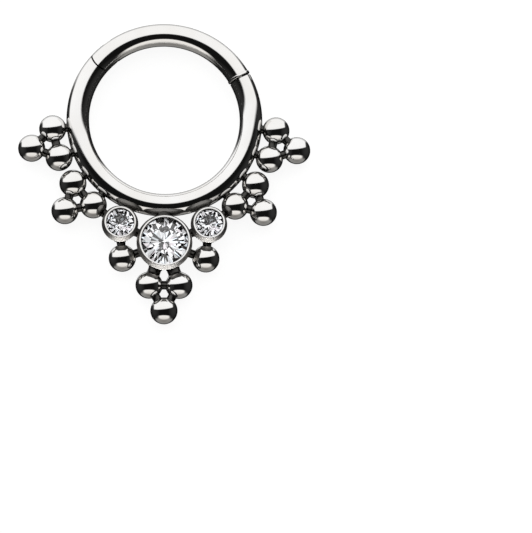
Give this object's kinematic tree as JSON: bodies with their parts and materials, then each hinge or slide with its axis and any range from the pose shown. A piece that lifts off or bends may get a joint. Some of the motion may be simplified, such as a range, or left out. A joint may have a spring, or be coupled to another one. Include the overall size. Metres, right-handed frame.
{
  "type": "hinged piercing ring with beads and stones",
  "caption": "Hinged segment piercing ring of round wire, with soldered bead clusters and clear round stones in cups along its lower edge.",
  "frame": {"origin": "centre of the wire ring, on the wire's middle plane", "axes": "+Z along the ring's axis, towards the side that the stones face, with the ring lying on its back; -Y from the ring's centre towards the centre cup; +X towards the latch side"},
  "size_m": [0.0154, 0.0162, 0.0017],
  "materials": {
    "polished_steel": "mirror polished surgical steel with faint polishing marks",
    "clear_stone": "colourless round brilliant cut, polished facets"
  },
  "bodies": {
    "ring": {"ring_body": "polished_steel", "centre_stone": "clear_stone", "left_stone": "clear_stone", "right_stone": "clear_stone"},
    "segment": {"hinge_segment": "polished_steel", "hinge_pin": "polished_steel"}
  },
  "joints": [
    {"name": "segment_hinge", "type": "hinge", "parent": "ring", "child": "segment", "pos_m": [-0.00299, 0.00349, 0], "axis": [0, 0, 1], "range_deg": [0, 84]}
  ]
}
